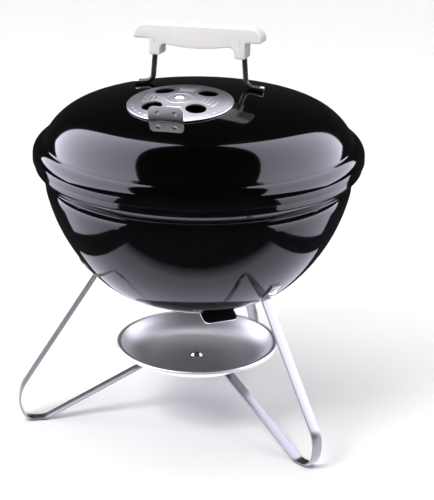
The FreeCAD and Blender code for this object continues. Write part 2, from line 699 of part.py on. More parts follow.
def write_base():
    write(bowl(), "bowl")
    write(bowl_damper_rivet(), "bowl_damper_rivet")
    for level, (node, azimuth) in enumerate(LEG_AZIMUTHS.items()):
        write(turned(leg(level), azimuth), node)
    write(Part.makeCompound(around_legs(leg_bolt())), "leg_bolts")
    write(Part.makeCompound(around_legs(leg_lock_washer())), "leg_lock_washers")
    write(Part.makeCompound(around_legs(leg_nut())), "leg_nuts")
    write(ash_catcher(), "ash_catcher")
    write(ash_catcher_bolt(), "ash_catcher_bolt")
    write(ash_catcher_washer(), "ash_catcher_washer")
    write(ash_catcher_wing_nut(), "ash_catcher_wing_nut")


def write_grates():
    write_grate("charcoal_grate", CHARCOAL_RING_R, CHARCOAL_RING_Z, CHARCOAL_WIRE_R,
                CHARCOAL_WIRE_R, CHARCOAL_BAR_PITCH, CHARCOAL_BAR_COUNT, CHARCOAL_BRACE_X)
    write_grate("cooking_grate", COOKING_RING_R, COOKING_RING_Z, COOKING_RING_WIRE_R,
                COOKING_BAR_R, COOKING_BAR_PITCH, COOKING_BAR_COUNT, COOKING_BRACE_X)


def write_lid():
    write(lid(), "lid")
    write(lid_damper_rivet(), "lid_damper_rivet")
    write(on_lid(bail_wire(BAIL_R), HANDLE_Y), "handle_bail")
    write(grip_half(-1), "handle_grip_front")
    write(grip_half(1), "handle_grip_rear")
    write(handle_screws(), "handle_screws")


os.makedirs("parts", exist_ok=True)
write_base()
write(bowl_damper(), "bowl_damper")
write_grates()
write_lid()
write(lid_damper(), "lid_damper")
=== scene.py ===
"""Looks of a kettle charcoal grill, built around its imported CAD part, in the part's own frame.

Sizes are in millimetres, as in the part, and MM turns them into metres when a mesh is made. Lamps and
glowing cards are placed in metres, as right of, beyond and above the grill from the camera's side.
"""

import json
import math

import bmesh
import bpy
from mathutils import Matrix, Vector

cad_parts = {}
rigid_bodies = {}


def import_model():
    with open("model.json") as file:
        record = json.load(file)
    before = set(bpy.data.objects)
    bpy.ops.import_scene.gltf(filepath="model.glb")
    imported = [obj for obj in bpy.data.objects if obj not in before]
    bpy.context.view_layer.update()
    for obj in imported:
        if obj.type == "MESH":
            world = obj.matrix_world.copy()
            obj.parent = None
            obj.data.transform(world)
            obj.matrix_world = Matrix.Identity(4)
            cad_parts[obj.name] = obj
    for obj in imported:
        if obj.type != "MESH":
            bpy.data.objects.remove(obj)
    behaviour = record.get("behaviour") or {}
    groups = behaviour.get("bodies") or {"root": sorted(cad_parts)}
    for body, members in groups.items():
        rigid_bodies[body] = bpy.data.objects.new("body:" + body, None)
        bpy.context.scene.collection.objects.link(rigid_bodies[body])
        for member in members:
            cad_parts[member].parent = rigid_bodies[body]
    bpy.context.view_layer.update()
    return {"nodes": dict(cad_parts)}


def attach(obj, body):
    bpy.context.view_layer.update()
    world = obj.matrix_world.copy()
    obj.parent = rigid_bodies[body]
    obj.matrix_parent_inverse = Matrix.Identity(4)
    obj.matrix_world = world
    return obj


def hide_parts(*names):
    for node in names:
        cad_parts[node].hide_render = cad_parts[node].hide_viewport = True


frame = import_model()

MM = 0.001
X, Y, Z = Vector((1, 0, 0)), Vector((0, 1, 0)), Vector((0, 0, 1))

# ---- sizes of the part --------------------------------------------------------------------------

SHEET = 1.0
FIT_GAP = 0.35
SEAT_GAP = 0.1

BOWL_POLE_Z = 136.0
BOWL_CROWN_R = 196.3
BOWL_WALL_R = 200.9
BOWL_BOTTOM = [(BOWL_CROWN_R, 30), (88.3, 15)]
BOWL_STEPS = BOWL_BOTTOM + [(BOWL_WALL_R, 32), (26.0, 27), (4.0, -59), (13.4,), (5.0, 45), (17.2,)]
BOWL_CURL = (2.6, 210)
LID_APEX_Z = 381.8
LID_CROWN_R = 491.5
LID_STEPS = [(LID_CROWN_R, -15.8), (59.7, -49.9), (3.0, 43.7), (2.0,), (14.5, -68), (6.3,)]
LID_TURN = 4.45
LID_FITTINGS_X = -12.0
HANDLE_Y = 42.0
LID_DAMPER_Y = -34.6

LID_DAMPER_R = 58.6
LID_DAMPER_DISH_R = 300.0
LID_DAMPER_SHEET = 1.5
LID_VENT_RING_R = 35.0
LID_VENT_R = 11.5
LID_TAB_WIDTH = 39.0
LID_TAB_HEIGHT = 16.0
BOWL_DAMPER_R = 58.6
BOWL_DAMPER_SHEET = 1.2
BOWL_VENT_RING_R = 35.0
BOWL_VENT_R = 11.5
BOWL_TAB_WIDTH = 40.0
BOWL_TAB_LENGTH = 17.0
BOWL_TAB_LEAN = 66.0
BOWL_TAB_AZIMUTH = -47.0
TAB_CORNER_R = 6.0
VENT_COUNT = 4
VENT_CUT_REACH = 15.0

RIB_RADII = (26, 31, 36, 41)
RIB_CLEARANCE = 24
RIB_TAPER = 6
RIB_HEIGHT = 0.55
INNER_RING_R = 14.5
INNER_RING_HEIGHT = 0.45
BEAD_COUNT = 36
BEAD_RING_R = 52.5
BEAD_HEIGHT = 0.6
RIDGE_WIDTH = 1.0

LEG_AZIMUTHS = {"leg_front_right": -30, "leg_rear": 90, "leg_front_left": 210}
LEG_WIDTH = 12.7
LEG_THICKNESS = 2.4
LEG_TAB_TOP_ANGLE = 37.9
LEG_BOLT_ANGLE = 41.1
LEG_TAB_LOW_ANGLE = 44.6
LEG_RUN_HEADING = -56.8
LEG_EDGE_R = 0.35
LEG_KNEE_R = 4.0
LEG_TOE_R = 14.8
LEG_INSTEP_R = 8.0
LEG_FOOT = [(36.4, -63.2), (LEG_TOE_R, -60), (8.0,)]
LEG_RISE_TURN = 27.4
LEG_END_REACH = 9.0
LEG_BOLT_R = 2.5
LEG_BOLT_LENGTH = 11.0
LEG_BOLT_HEAD = (5.6, 3.0)
LEG_BOLT_RECESS = [(1.5, 2.9), (1.3, 2.7), (1.1, 1.7), (0, 1.5)]

PAN_FLOOR_Z = 67.0
PAN_SHEET = 0.8
PAN_STEPS = [(55.0,), (38.0, 50), (5.5,), (2.0, -50), (1.2,)]
PAN_CURL = (1.6, -190)
PAN_BOLT_R = 3.0
PAN_BOLT_LOW_Z = 50.5
PAN_BOLT_HEAD = (6.6, 3.2)

WELD_GAP = 0.05
GRATES = {
    "cooking_grate": {"ring_r": 169.2, "z": 292.5, "wire": 2.25, "bar": 1.75, "pitch": 13.4, "count": 24,
                      "brace_x": 70.0, "slot": "plated_grate_wire"},
    "charcoal_grate": {"ring_r": 130.9, "z": 198.7, "wire": 2.5, "bar": 2.5, "pitch": 20.0, "count": 12,
                       "brace_x": 45.0, "slot": "grate_wire"},
}

BAIL_R = 3.0
BAIL_TOP_Z = 56.1
BAIL_TOP_HALF = 50.5
BAIL_CORNER_R = 8.0
BAIL_LEAN = 4.4
BAIL_BEND_R = 9.0
BAIL_FOOT_SLOPE = 7.5
BAIL_FOOT_HALF = 75.0
GRIP_TOP_Z = 66.6
GRIP_HALF_DEPTH = 13.0
GRIP_EDGE_R = 1.9
GRIP_BELLY_Z = 41.1
GRIP_BELLY = [(205.0, 10), (6.0, -100)]
GRIP_SOCKET_Z = 31.8
GRIP_SOCKET_WIDTH = 13.0
GRIP_CORNER_R = 2.0
GRIP_END_UNDER_Z = 50.1
GRIP_END_R = 13.0
GRIP_HALF_LENGTH = 73.8
GRIP_SLOT = (15.0, 42.0)
GRIP_SLOT_DEPTH = 1.6
GRIP_SLOT_HALF_WIDTH = 0.9
GRIP_SLIT_X = 49.0
GRIP_SLIT_HALF_WIDTH = 0.5
GRIP_SLIT_DEPTH = 0.8
GRIP_SLIT_DROPS = (22.0, 15.0)

RIVET_R = 3.0
RIVET_HEAD_R = 5.5
RIVET_HEAD_HEIGHT = 2.2


# ---- outlines -----------------------------------------------------------------------------------

def walk(start, heading, steps, offset=0.0, fine=3.0, longest=1e9):
    """Points and headings along (length,) lines and (radius, degrees) arcs, offset to their left."""
    angle = math.radians(heading)
    x = start[0] - offset * math.sin(angle)
    z = start[1] + offset * math.cos(angle)
    trail = [(x, z, heading)]
    for step in steps:
        if len(step) == 1:
            count = max(1, math.ceil(step[0] / longest))
            for _ in range(count):
                x += step[0] / count * math.cos(math.radians(heading))
                z += step[0] / count * math.sin(math.radians(heading))
                trail.append((x, z, heading))
            continue
        radius, degrees = step
        side = 1 if degrees > 0 else -1
        radius -= side * offset
        count = max(2, math.ceil(abs(degrees) / fine))
        chord = 2 * radius * math.sin(math.radians(abs(degrees) / count / 2))
        for _ in range(count):
            middle = math.radians(heading + degrees / count / 2)
            x += chord * math.cos(middle)
            z += chord * math.sin(middle)
            heading += degrees / count
            trail.append((x, z, heading))
    return trail


def end_of(start, heading, steps):
    return walk(start, heading, steps)[-1][:2]


def places(trail):
    return [(x, z) for x, z, _ in trail]


def rounded_end(trail, thickness):
    """Half-round points that close a sheet's end, from its first side to the side on its left."""
    x, z, heading = trail[-1]
    angle = math.radians(heading)
    ahead = Vector((math.cos(angle), math.sin(angle)))
    left = Vector((-math.sin(angle), math.cos(angle)))
    base = Vector((x, z)) - ahead * abs(thickness) / 2
    half = thickness / 2
    ring = []
    for k in range(7):
        around = math.radians(180 * k / 6)
        ring.append(base + left * half * (1 - math.cos(around)) + ahead * abs(half) * math.sin(around))
    return [(point.x, point.y) for point in ring]


def sheet_outline(start, steps, thickness, fine):
    """The closed section of bent sheet from the axis out, with a rounded outer end."""
    near = walk(start, 0, steps, 0, fine)
    far = walk(start, 0, steps, thickness, fine)
    return places(near[:-1]) + rounded_end(near, thickness) + places(far[:-1])[::-1]


# ---- meshes -------------------------------------------------------------------------------------

def new_piece(name, verts, faces, sharp=40, uvs=None):
    """An object from points in millimetres, smooth except at edges sharper than an angle."""
    mesh = bpy.data.meshes.new(name)
    mesh.from_pydata([Vector(v) * MM for v in verts], [], faces)
    if uvs:
        layer = mesh.uv_layers.new(name="along")
        for loop in mesh.loops:
            layer.data[loop.index].uv = uvs[loop.vertex_index]
    mesh.validate()
    mesh.shade_smooth()
    mesh.set_sharp_from_angle(angle=math.radians(sharp))
    piece = bpy.data.objects.new(name, mesh)
    bpy.context.scene.collection.objects.link(piece)
    return piece


def lathe(name, outline, segments=192, sharp=40, lift=None):
    """A closed outline of (radius, height) points turned about Z. lift(x, y, k) raises point k."""
    verts, rows = [], []
    for k, (radius, z) in enumerate(outline):
        count = segments if radius > 1e-6 else 1
        row = []
        for j in range(count):
            angle = 2 * math.pi * j / count
            x, y = radius * math.cos(angle), radius * math.sin(angle)
            row.append(len(verts))
            verts.append((x, y, z + (lift(x, y, k) if lift else 0)))
        rows.append(row)
    faces = []
    closed = rows if len(rows[0]) == 1 else rows + [rows[0]]
    for low, high in zip(closed, closed[1:]):
        for j in range(segments):
            corners = [row[k % len(row)] for row, k in ((low, j), (low, j + 1), (high, j + 1), (high, j))]
            corners = [c for i, c in enumerate(corners) if c not in corners[:i]]
            if len(corners) > 2:
                faces.append(corners)
    return facing_out(new_piece(name, verts, faces, sharp))


def facing_out(piece):
    work = bmesh.new()
    work.from_mesh(piece.data)
    bmesh.ops.recalc_face_normals(work, faces=work.faces)
    work.to_mesh(piece.data)
    work.free()
    return piece


def sweep(name, trail, section, sharp=40):
    """A section of (left, across) points carried along a trail in the X-Z plane, across being Y.

    Its first texture coordinate runs along the trail in millimetres, and its second round it.
    """
    verts, uvs, faces = [], [], []
    run = 0.0
    for k, (x, z, heading) in enumerate(trail):
        if k:
            run += math.dist((x, z), trail[k - 1][:2])
        angle = math.radians(heading)
        for j, (left, across) in enumerate(section):
            verts.append((x - left * math.sin(angle), across, z + left * math.cos(angle)))
            uvs.append((run, across + left))
    wide = len(section)
    for k in range(len(trail) - 1):
        for j in range(wide):
            a, b = k * wide + j, k * wide + (j + 1) % wide
            faces.append((a, b, b + wide, a + wide))
    last = (len(trail) - 1) * wide
    faces.append(tuple(range(wide)))
    faces.append(tuple(last + j for j in reversed(range(wide))))
    return facing_out(new_piece(name, verts, faces, sharp, uvs))


def round_section(radius, count=20):
    return [(radius * math.cos(2 * math.pi * j / count), radius * math.sin(2 * math.pi * j / count))
            for j in range(count)]


def strip_section(thickness, width, edge):
    """A flat strip's section with rounded corners."""
    section = []
    for quarter in range(4):
        side_t = 1 if quarter in (0, 3) else -1
        side_w = 1 if quarter in (0, 1) else -1
        for k in range(4):
            angle = math.radians(90 * quarter + 30 * k)
            section.append((side_t * (thickness / 2 - edge) + edge * math.cos(angle),
                            side_w * (width / 2 - edge) + edge * math.sin(angle)))
    return section


def cut(piece, cutters, sharp=40):
    """Takes the cutters' volume out of a piece and removes them."""
    for cutter in cutters:
        step = piece.modifiers.new("cut", "BOOLEAN")
        step.operation = "DIFFERENCE"
        step.solver = "EXACT"
        step.object = cutter
    return applied(piece, cutters, sharp)


def applied(piece, spare=(), sharp=40):
    graph = bpy.context.evaluated_depsgraph_get()
    old = piece.data
    piece.data = bpy.data.meshes.new_from_object(piece.evaluated_get(graph))
    piece.modifiers.clear()
    piece.data.name = piece.name
    bpy.data.meshes.remove(old)
    for other in spare:
        bpy.data.objects.remove(other)
    piece.data.shade_smooth()
    piece.data.set_sharp_from_angle(angle=math.radians(sharp))
    return piece


def joined(name, parts):
    """One piece from several, each already in place."""
    work = bmesh.new()
    layers = [part.data.uv_layers.active for part in parts]
    if all(layers):
        work.loops.layers.uv.new("along")
    for part in parts:
        part.data.transform(part.matrix_world)
        work.from_mesh(part.data)
    mesh = bpy.data.meshes.new(name)
    work.to_mesh(mesh)
    work.free()
    for part in parts:
        bpy.data.objects.remove(part)
    piece = bpy.data.objects.new(name, mesh)
    bpy.context.scene.collection.objects.link(piece)
    return piece


def place(piece, matrix):
    piece.data.transform(matrix)
    return piece


def turn(degrees, axis=Z, centre=(0, 0, 0)):
    """A turn about a line through a point given in millimetres."""
    shift = Matrix.Translation(Vector(centre) * MM)
    return shift @ Matrix.Rotation(math.radians(degrees), 4, axis) @ shift.inverted()


def shifted(x, y, z):
    return Matrix.Translation(Vector((x, y, z)) * MM)


def on_lid(y):
    """Carries what stands on the lid's apex to its place on the crown."""
    normal = Vector((LID_FITTINGS_X, y, math.sqrt(LID_CROWN_R ** 2 - LID_FITTINGS_X ** 2 - y ** 2)))
    tip = turn(math.degrees(normal.angle(Z)), Z.cross(normal), (0, 0, LID_APEX_Z - LID_CROWN_R))
    return turn(LID_TURN) @ tip


def on_wall(angle_below, standoff):
    """Carries what stands on the origin along Z to the bowl's wall at a leg that points along +X."""
    x, z, heading = walk((0, BOWL_POLE_Z), 0, BOWL_BOTTOM)[-1]
    heading = math.radians(heading + 90)
    x += BOWL_WALL_R * math.cos(heading)
    z += BOWL_WALL_R * math.sin(heading)
    reach = BOWL_WALL_R + standoff
    angle = math.radians(-angle_below)
    spot = shifted(x + reach * math.cos(angle), 0, z + reach * math.sin(angle))
    return spot @ turn(90 + angle_below, Y)


def cylinder(radius, low, high, x=0.0, y=0.0, segments=64):
    piece = lathe("cutter", [(0, low), (radius, low), (radius, high), (0, high)], segments)
    return place(piece, shifted(x, y, 0))


def block(low, high):
    corners = [(x, y, z) for x in (low[0], high[0]) for y in (low[1], high[1]) for z in (low[2], high[2])]
    faces = [(0, 1, 3, 2), (4, 6, 7, 5), (0, 4, 5, 1), (2, 3, 7, 6), (0, 2, 6, 4), (1, 5, 7, 3)]
    return facing_out(new_piece("cutter", corners, faces))


def vent_cutters(radius, ring_r, z):
    low, high = z - VENT_CUT_REACH, z + VENT_CUT_REACH
    cutters = []
    for k in range(VENT_COUNT):
        angle = math.radians(45 + 360 / VENT_COUNT * k)
        cutters.append(cylinder(radius, low, high, ring_r * math.cos(angle), ring_r * math.sin(angle)))
    return cutters


def front_cutter(chord, low, high):
    """A block that takes off what stands in front of a chord, between two heights."""
    wide = 80
    return block((-wide, -wide, low), (wide, -chord, high))


def dome(radius, height, base, steps=8):
    """Outline points of a low round head, from its rim up to its top."""
    ball = (radius ** 2 + height ** 2) / (2 * height)
    reach = math.asin(radius / ball)
    points = []
    for k in range(steps + 1):
        angle = reach * (1 - k / steps)
        points.append((ball * math.sin(angle), base + height - ball * (1 - math.cos(angle))))
    points[-1] = (0, base + height)
    return points


# ---- materials ----------------------------------------------------------------------------------

class Look:
    """A node material under construction, with a Principled shader."""

    def __init__(self, name, **sockets):
        self.material = bpy.data.materials.new(name)
        self.material.use_nodes = True
        self.tree = self.material.node_tree
        self.shader = self.tree.nodes["Principled BSDF"]
        for socket, value in sockets.items():
            self.shader.inputs[socket.replace("_", " ")].default_value = value

    def add(self, kind, **inputs):
        node = self.tree.nodes.new(kind)
        for socket, value in inputs.items():
            self.feed(node.inputs[socket.replace("_", " ")], value)
        return node

    def feed(self, socket, value):
        if hasattr(value, "links"):
            self.tree.links.new(value, socket)
        else:
            socket.default_value = value

    def coordinates(self, kind="Object", stretch=(1, 1, 1)):
        source = self.add("ShaderNodeTexCoord").outputs[kind]
        return self.add("ShaderNodeMapping", Vector=source, Scale=stretch).outputs["Vector"]

    def noise(self, vector, scale, detail=2.0, roughness=0.5):
        node = self.add("ShaderNodeTexNoise", Vector=vector, Scale=scale, Detail=detail, Roughness=roughness)
        return node.outputs["Fac"]

    def ramp(self, fac, stops):
        node = self.add("ShaderNodeValToRGB", Fac=fac)
        elements = node.color_ramp.elements
        while len(elements) < len(stops):
            elements.new(0.5)
        for element, (position, colour) in zip(elements, stops):
            element.position = position
            element.color = (*colour, 1) if len(colour) == 3 else colour
        return node.outputs["Color"]

    def level(self, fac, low, high):
        node = self.add("ShaderNodeMapRange", Value=fac)
        node.inputs["To Min"].default_value = low
        node.inputs["To Max"].default_value = high
        return node.outputs["Result"]

    def bump(self, height, strength, distance):
        node = self.add("ShaderNodeBump", Height=height, Strength=strength, Distance=distance)
        self.feed(self.shader.inputs["Normal"], node.outputs["Normal"])

    def set(self, socket, value):
        self.feed(self.shader.inputs[socket], value)


def enamel():
    look = Look("black_enamel", IOR=1.42)
    where = look.coordinates()
    look.set("Base Color", look.ramp(look.noise(where, 60, 3), [(0.3, (0.0025, 0.0025, 0.003)),
                                                               (0.75, (0.005, 0.0048, 0.006))]))
    look.set("Roughness", look.level(look.noise(where, 35, 4, 0.6), 0.05, 0.085))
    look.bump(look.noise(where, 420, 2), 0.05, 0.0002)
    return look.material


def black_paint():
    look = Look("black_paint")
    where = look.coordinates()
    look.set("Base Color", look.ramp(look.noise(where, 300), [(0.3, (0.006, 0.006, 0.007)),
                                                             (0.8, (0.014, 0.014, 0.015))]))
    look.set("Roughness", look.level(look.noise(where, 500, 3), 0.28, 0.42))
    look.bump(look.noise(where, 1500, 2), 0.15, 0.0001)
    return look.material


def metal(name, colour, rough, grain=(1, 1, 1), scale=800.0, kind="Object", depth=0.00005, spread=0.06):
    """Bare or plated metal whose grain is stretched along a direction."""
    look = Look(name, Metallic=1.0)
    where = look.coordinates(kind, grain)
    streaks = look.noise(where, scale, 3, 0.6)
    darker = tuple(c * 0.9 for c in colour)
    look.set("Base Color", look.ramp(streaks, [(0.25, darker), (0.75, colour)]))
    look.set("Roughness", look.level(streaks, rough - spread, rough + spread))
    look.bump(streaks, 0.2, depth)
    return look.material


def spun_metal(name, colour, rough, depth=0.00008):
    """Metal pressed and brushed in rings about its own axis."""
    look = Look(name, Metallic=1.0)
    source = look.add("ShaderNodeTexCoord").outputs["Object"]
    apart = look.add("ShaderNodeSeparateXYZ", Vector=source).outputs
    flat = look.add("ShaderNodeCombineXYZ", X=apart["X"], Y=apart["Y"]).outputs["Vector"]
    radius = look.add("ShaderNodeVectorMath", Vector=flat)
    radius.operation = "LENGTH"
    rings = look.add("ShaderNodeCombineXYZ", X=radius.outputs["Value"], Y=apart["Z"]).outputs["Vector"]
    grooves = look.noise(rings, 1400, 3, 0.7)
    cloud = look.noise(source, 40, 4, 0.6)
    look.set("Base Color", look.ramp(cloud, [(0.3, tuple(c * 0.93 for c in colour)), (0.7, colour)]))
    look.set("Roughness", look.level(grooves, rough - 0.06, rough + 0.06))
    look.bump(grooves, 0.15, depth)
    return look.material


def black_wire():
    look = Look("black_wire")
    where = look.coordinates()
    look.set("Base Color", look.ramp(look.noise(where, 400), [(0.3, (0.006, 0.006, 0.006)),
                                                             (0.8, (0.012, 0.012, 0.012))]))
    look.set("Roughness", look.level(look.noise(where, 700, 3), 0.2, 0.34))
    look.bump(look.noise(where, 1200), 0.1, 0.0001)
    return look.material


def grip_plastic():
    look = Look("grip_plastic", Subsurface_Weight=0.08, Subsurface_Scale=0.002)
    where = look.coordinates()
    look.set("Base Color", look.ramp(look.noise(where, 90, 4, 0.6), [(0.25, (0.66, 0.65, 0.62)),
                                                                    (0.75, (0.71, 0.705, 0.68))]))
    look.set("Roughness", look.level(look.noise(where, 900, 3), 0.42, 0.55))
    look.bump(look.noise(where, 2600, 3), 0.18, 0.0001)
    return look.material


def floor_look():
    look = Look("floor_sweep", Roughness=0.9)
    where = look.coordinates()
    pale = [(0.2, (0.9, 0.9, 0.9)), (0.8, (0.92, 0.92, 0.92))]
    look.set("Base Color", look.ramp(look.noise(where, 3, 3), pale))
    return look.material


LOOKS = {
    "black_enamel": enamel(),
    "black_paint": black_paint(),
    "cut_edge": metal("cut_edge", (0.85, 0.85, 0.86), 0.3),
    "leg_strip": metal("leg_strip", (0.21, 0.21, 0.215), 0.3, grain=(1, 0.02, 1), scale=1.2, kind="UV",
                       depth=0.00004),
    "plated_steel": metal("plated_steel", (0.8, 0.8, 0.81), 0.16),
    "zinc_steel": metal("zinc_steel", (0.6, 0.61, 0.63), 0.34),
    "pan_aluminium": spun_metal("pan_aluminium", (0.49, 0.49, 0.49), 0.42),
    "damper_aluminium": spun_metal("damper_aluminium", (0.6, 0.59, 0.63), 0.3),
    "grate_wire": metal("grate_wire", (0.42, 0.41, 0.4), 0.4),
    "plated_grate_wire": metal("plated_grate_wire", (0.52, 0.51, 0.5), 0.25),
    "black_wire": black_wire(),
    "grip_plastic": grip_plastic(),
}


def dress(piece, slot, body, *nodes):
    """Gives a piece its material, puts it on the body it rides on and hides any CAD nodes it stands for."""
    piece.data.materials.clear()
    piece.data.materials.append(LOOKS[slot])
    if nodes:
        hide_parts(*nodes)
    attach(piece, body)
    return piece


def two_tone(piece, look, test):
    """Gives a second material to the faces whose middle, in millimetres, and normal pass a test."""
    piece.data.materials.append(LOOKS[look])
    for face in piece.data.polygons:
        if test(face.center / MM, face.normal):
            face.material_index = 1


# ---- bowl ---------------------------------------------------------------------------------------

def make_bowl():
    steps = BOWL_STEPS + [BOWL_CURL]
    piece = lathe("bowl_shell", sheet_outline((0, BOWL_POLE_Z), steps, SHEET, 1.5), 256)
    vents = vent_cutters(BOWL_VENT_R, BOWL_VENT_RING_R, BOWL_POLE_Z)
    for vent in vents:
        place(vent, turn(BOWL_TAB_AZIMUTH + 90))
    dress(cut(piece, vents), "black_enamel", "base", "bowl")


def tab_piece(name, width, height, thickness, bumps=()):
    """An upright plate on the X axis, facing -Y, with rounded upper corners.

    At each bump, (x, z, size, depth), both faces move towards -Y by the depth.
    """
    rows, columns = 44, 72
    verts, faces = [], []
    for side in (0, 1):
        for i in range(rows + 1):
            up = height * math.sin(math.pi / 2 * i / rows)
            over = max(0.0, up - (height - TAB_CORNER_R))
            half = width / 2 - TAB_CORNER_R + math.sqrt(max(0.0, TAB_CORNER_R ** 2 - over ** 2))
            for j in range(columns + 1):
                x = half * math.sin(math.pi * (j / columns - 0.5))
                out = sum(depth * math.exp(-((x - bx) ** 2 + (up - bz) ** 2) / size ** 2)
                          for bx, bz, size, depth in bumps)
                verts.append((x, side * thickness - out, up))
    wide = columns + 1
    total = (rows + 1) * wide
    for i in range(rows):
        for j in range(columns):
            a = i * wide + j
            faces.append((a, a + 1, a + wide + 1, a + wide))
            faces.append((total + a, total + a + wide, total + a + wide + 1, total + a + 1))
    rim = list(range(wide)) + [i * wide + columns for i in range(1, rows + 1)]
    rim += [rows * wide + j for j in reversed(range(columns))] + [i * wide for i in reversed(range(1, rows))]
    for a, b in zip(rim, rim[1:] + rim[:1]):
        faces.append((a, a + total, b + total, b))
    return facing_out(new_piece(name, verts, faces, 50))


def make_bowl_damper():
    low_r = BOWL_CROWN_R + FIT_GAP + BOWL_DAMPER_SHEET
    pole = (0, BOWL_POLE_Z + BOWL_CROWN_R - low_r)
    reach = math.degrees(math.asin(BOWL_DAMPER_R / low_r))
    disc = lathe("disc", sheet_outline(pole, [(low_r, reach)], BOWL_DAMPER_SHEET, 0.7), 160)
    chord = math.sqrt(BOWL_DAMPER_R ** 2 - (BOWL_TAB_WIDTH / 2) ** 2)
    front = front_cutter(chord, 80, 170)
    disc = cut(disc, vent_cutters(BOWL_VENT_R, BOWL_VENT_RING_R, BOWL_POLE_Z) + [front])
    tab = tab_piece("tab", BOWL_TAB_WIDTH, BOWL_TAB_LENGTH, BOWL_DAMPER_SHEET)
    half_sheet = BOWL_DAMPER_SHEET / 2
    edge_z = BOWL_POLE_Z + BOWL_CROWN_R - math.sqrt((low_r - half_sheet) ** 2 - chord ** 2)
    tip = turn(180 - BOWL_TAB_LEAN, X)
    place(tab, shifted(0, -chord, edge_z) @ tip @ shifted(0, -half_sheet, 0))
    bend = rod((-BOWL_TAB_WIDTH / 2, -chord, edge_z), (BOWL_TAB_WIDTH / 2, -chord, edge_z), half_sheet)
    piece = joined("bowl_damper_plate", [disc, tab, bend])
    dress(piece, "black_paint", "bowl_damper", "bowl_damper")
    outwards = tip @ Z

    def is_cut_edge(middle, normal):
        if middle.y > -chord - half_sheet:
            return middle.xy.length > BOWL_DAMPER_R - half_sheet
        return abs(normal.x) > 0.5 or normal.dot(outwards) > 0.5

    two_tone(piece, "cut_edge", is_cut_edge)
    place(piece, turn(BOWL_TAB_AZIMUTH + 90))


def rivet_outline(base_z, top_z):
    lower = [(r, 2 * base_z - z) for r, z in dome(RIVET_HEAD_R, RIVET_HEAD_HEIGHT, base_z)]
    return lower[::-1] + [(RIVET_R, base_z), (RIVET_R, top_z)] + dome(RIVET_HEAD_R, RIVET_HEAD_HEIGHT, top_z)


def make_bowl_rivet():
    low = BOWL_POLE_Z - 2 * FIT_GAP - BOWL_DAMPER_SHEET
    piece = lathe("bowl_damper_pin", rivet_outline(low, BOWL_POLE_Z + SHEET + FIT_GAP), 48)
    dress(piece, "plated_steel", "base", "bowl_damper_rivet")


# ---- legs ---------------------------------------------------------------------------------------

def leg_trail(level):
    middle = SEAT_GAP + LEG_THICKNESS / 2
    top = on_wall(LEG_TAB_TOP_ANGLE, middle).translation / MM
    start, heading = (top.x, top.z), -90 - LEG_TAB_TOP_ANGLE
    knee = [(BOWL_WALL_R + middle, LEG_TAB_TOP_ANGLE - LEG_TAB_LOW_ANGLE),
            (LEG_KNEE_R, LEG_RUN_HEADING + 90 + LEG_TAB_LOW_ANGLE)]
    drop = end_of(start, heading, knee + LEG_FOOT)[1] - LEG_THICKNESS / 2
    steps = knee + [(drop / math.sin(math.radians(-LEG_RUN_HEADING)),)] + LEG_FOOT
    steps.append((LEG_TOE_R, -LEG_RISE_TURN))
    instep = (LEG_INSTEP_R, LEG_RISE_TURN)
    end_z = PAN_FLOOR_Z - middle - level * (LEG_THICKNESS + SEAT_GAP)
    rise = end_z - end_of(start, heading, steps + [instep])[1]
    steps += [(rise / math.sin(math.radians(LEG_RISE_TURN)),), instep]
    steps.append((end_of(start, heading, steps)[0] + LEG_END_REACH,))
    return walk(start, heading, steps, 0, 3, 12)


def make_legs():
    for level, (node, azimuth) in enumerate(LEG_AZIMUTHS.items()):
        section = strip_section(LEG_THICKNESS, LEG_WIDTH, LEG_EDGE_R)
        piece = sweep(node + "_strip", leg_trail(level), section)
        dress(place(piece, turn(azimuth)), "leg_strip", "base", node)


def make_leg_bolts():
    parts = []
    outer = 2 * SEAT_GAP + LEG_THICKNESS
    shank = [(0, -LEG_BOLT_LENGTH), (LEG_BOLT_R, -LEG_BOLT_LENGTH), (LEG_BOLT_R, 0)]
    head = dome(*LEG_BOLT_HEAD, 0)[:-2] + LEG_BOLT_RECESS
    for azimuth in LEG_AZIMUTHS.values():
        part = lathe("bolt", shank + head, 48)
        parts.append(place(part, turn(azimuth) @ on_wall(LEG_BOLT_ANGLE, outer)))
    dress(joined("leg_bolt_set", parts), "plated_steel", "base", "leg_bolts")


# ---- ash catcher --------------------------------------------------------------------------------

def make_ash_catcher():
    outline = sheet_outline((0, PAN_FLOOR_Z), PAN_STEPS + [PAN_CURL], PAN_SHEET, 3)
    dress(lathe("ash_pan", outline, 224), "pan_aluminium", "base", "ash_catcher")
    head_z = PAN_FLOOR_Z + PAN_SHEET + SEAT_GAP
    shank = [(0, PAN_BOLT_LOW_Z), (PAN_BOLT_R, PAN_BOLT_LOW_Z), (PAN_BOLT_R, head_z)]
    bolt = lathe("ash_pan_bolt", shank + dome(*PAN_BOLT_HEAD, head_z), 64)
    dress(bolt, "plated_steel", "base", "ash_catcher_bolt")


# ---- grates -------------------------------------------------------------------------------------

def rod(start, end, radius):
    """A wire between two points, with slightly rounded ends."""
    start, end = Vector(start), Vector(end)
    length = (end - start).length
    ease = radius * 0.35
    outline = [(0, 0), (radius - ease, 0), (radius - ease * 0.3, ease * 0.3), (radius, ease)]
    outline += [(radius, length - ease), (radius - ease * 0.3, length - ease * 0.3),
                (radius - ease, length), (0, length)]
    piece = lathe("rod", outline, 14, 60)
    matrix = (end - start).to_track_quat("Z", "Y").to_matrix().to_4x4()
    return place(piece, shifted(*start) @ matrix)


